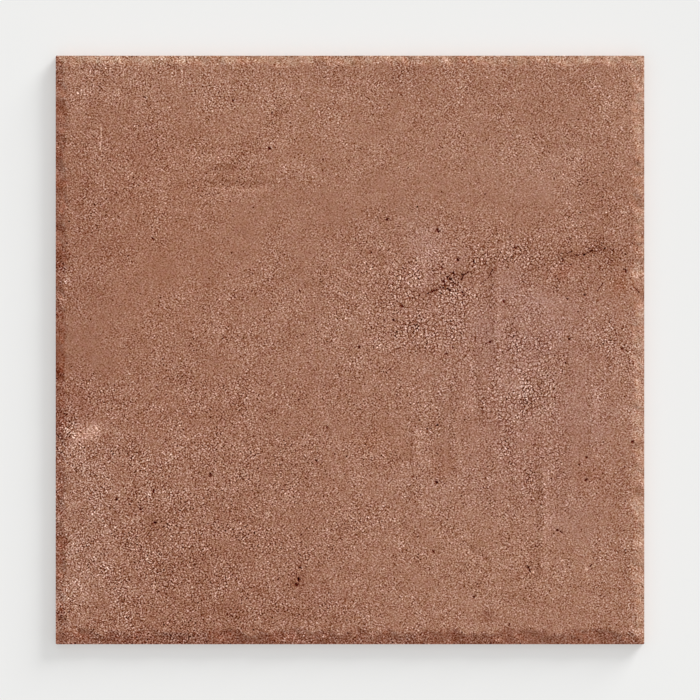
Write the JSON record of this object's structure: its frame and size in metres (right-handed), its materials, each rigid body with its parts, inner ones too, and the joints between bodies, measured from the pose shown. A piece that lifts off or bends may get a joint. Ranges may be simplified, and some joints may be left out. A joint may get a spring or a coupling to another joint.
{
  "type": "porcelain tile",
  "caption": "Square matte porcelain floor tile with a weathered terracotta look, a wavering rolled edge round its face and a shallow key lattice on its back.",
  "frame": {"origin": "middle of the back, on the plane of the ribs that the tile lies on", "axes": "+Z out of the face, +X to the right and +Y to the top of the picture"},
  "size_m": [0.33, 0.33, 0.009],
  "materials": {
    "porcelain": "matte fired clay, terracotta red-brown, mottled and finely grained"
  },
  "bodies": {
    "root": {"porcelain_tile": "porcelain"}
  },
  "joints": []
}
